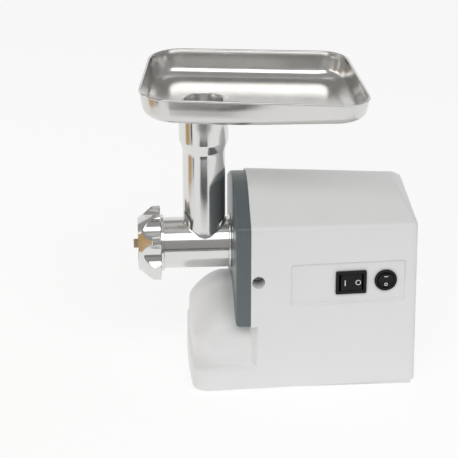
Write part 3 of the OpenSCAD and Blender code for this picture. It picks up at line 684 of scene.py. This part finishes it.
tray = loft("tray_shell", tray_rings(), close=True, angle=40)
finish_piece(tray, "tray", "stainless", ["tray"])
neck = lathe("tray_neck_shell", [(TRAY_Z + 1.5, 20.9), (TRAY_Z + 1.75, 20.5), (TRAY_Z + 1.7, 19.8),
                                 (TRAY_Z + 1.0, 19.4), (TRAY_Z - 18, 19.4), (TRAY_Z - 18, 20.6),
                                 (TRAY_Z + 1, 20.6)], (TUBE_X, 0, 0), 2, 160)
finish_piece(neck, "tray", "stainless", ["tray_neck"])

# ---- pieces that keep their CAD shape ---------------------------------------

# width in mm of the rounding on pieces whose edges show
SOFT = {"rocker_frame": 0.5, "rocker_paddle": 0.4, "round_frame": 0.5, "round_paddle": 0.4,
        "feet": 0.4, "auger_stud": 0.5, "cutting_plate": 0.15, "knife": 0.2, "lock_sleeve": 0.2,
        "cord_inlet": 0.3}
for name, width in SOFT.items():
    finish_piece(softened(name, width), nodes[name]["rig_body"], slot_of[name], [name])
for name, obj in nodes.items():
    if name in slot_of:
        if not obj.material_slots:
            obj.data.materials.append(materials[slot_of[name]])
        for held in obj.material_slots:
            held.material = materials[slot_of[name]]

# ---- studio -----------------------------------------------------------------

FLOOR_GLOW, WALL_GLOW, WORLD_LIGHT = 0.79, 0.9, 0.36
LIGHT_AIM = Vector((0, 0, 0.15))


def emission(name, colour, strength=1.0):
    mat = bpy.data.materials.new(name)
    mat.use_nodes = True
    tree = mat.node_tree
    tree.nodes.clear()
    out = tree.nodes.new("ShaderNodeOutputMaterial")
    glow = tree.nodes.new("ShaderNodeEmission")
    glow.inputs["Color"].default_value = (*colour, 1)
    glow.inputs["Strength"].default_value = strength
    tree.links.new(glow.outputs["Emission"], out.inputs["Surface"])
    return mat


def card(name, centre, size, facing, mat, seen=True):
    """A flat card of the studio, in the row frame, in metres; unseen ones only show in the metal."""
    data = bpy.data.meshes.new(name)
    w, h = size[0] / 2, size[1] / 2
    data.from_pydata([(-w, -h, 0), (w, -h, 0), (w, h, 0), (-w, h, 0)], [], [(0, 1, 2, 3)])
    obj = bpy.data.objects.new(name, data)
    bpy.context.scene.collection.objects.link(obj)
    obj.location = centre
    obj.rotation_euler = Vector(facing).to_track_quat("Z", "Y").to_euler()
    obj.visible_camera = seen
    data.materials.append(mat)
    return obj


floor_mat = Shader("floor")
floor_mat.set(Base_Color=(0.25, 0.25, 0.25, 1), Roughness=0.9, Emission_Color=(1, 1, 1, 1),
              Emission_Strength=FLOOR_GLOW, Specular_IOR_Level=0.0)
card("floor", (0, 3.38, 0), (8, 8), (0, 0, 1), floor_mat.mat)
# more of the same floor for views from the other sides, kept out of the metal's reflections
wide = card("floor_wide", (0, 0, -0.0005), (20, 20), (0, 0, 1), floor_mat.mat)
wide.visible_glossy = wide.visible_diffuse = wide.visible_shadow = False
card("back_wall", (0, 3.2, 1.3), (7, 2.6), (0, -1, 0), emission("wall_glow", (1, 1, 1), WALL_GLOW))

world = bpy.data.worlds.new("studio")
bpy.context.scene.world = world
world.use_nodes = True
background = world.node_tree.nodes["Background"]
background.inputs["Color"].default_value = (1, 0.98, 0.96, 1)
background.inputs["Strength"].default_value = WORLD_LIGHT

warm = emission("warm_card", (0.55, 0.36, 0.16))
dark = emission("dark_card", (0.03, 0.025, 0.03))
card("warm_left", (-0.60, -0.08, 0.20), (0.22, 0.56), (1, 0, 0.2), warm, False)
card("dark_left", (-0.58, -0.28, 0.20), (0.09, 0.5), (1, 0.3, 0.2), dark, False)
card("dark_front", (-0.30, -1.00, 0.0), (0.75, 0.5), (0, 0, 1), dark, False)
card("dark_near", (-0.10, -0.50, 0.002), (0.34, 0.14), (0, 0, 1), dark, False)


def softbox(name, centre, size, radiance):
    data = bpy.data.lights.new(name, "AREA")
    data.shape, data.size, data.size_y = "RECTANGLE", size[0], size[1]
    data.energy = radiance * math.pi * size[0] * size[1]
    obj = bpy.data.objects.new(name, data)
    bpy.context.scene.collection.objects.link(obj)
    obj.location = centre
    obj.rotation_euler = (LIGHT_AIM - Vector(centre)).to_track_quat("-Z", "Y").to_euler()


softbox("front", (0, -1.2, 1.49), (2.5, 0.9), 2.3)
softbox("left", (-1.6, -0.2, 0.5), (1.5, 0.8), 1.7)
bpy.context.scene.view_settings.view_transform = "Standard"

# ---- camera -----------------------------------------------------------------

CAMERA_AT = place(-111.4, -1774.9, 946.8)
YAW, PITCH = math.radians(3.51), math.radians(24.14)
data = bpy.data.cameras.new("camera")
data.sensor_width, data.lens = 36.0, 149.3
data.clip_end = 50
camera = bpy.data.objects.new("camera", data)
bpy.context.scene.collection.objects.link(camera)
camera.location = CAMERA_AT
camera.rotation_euler = (math.pi / 2 - PITCH, 0, -YAW)
bpy.context.scene.camera = camera

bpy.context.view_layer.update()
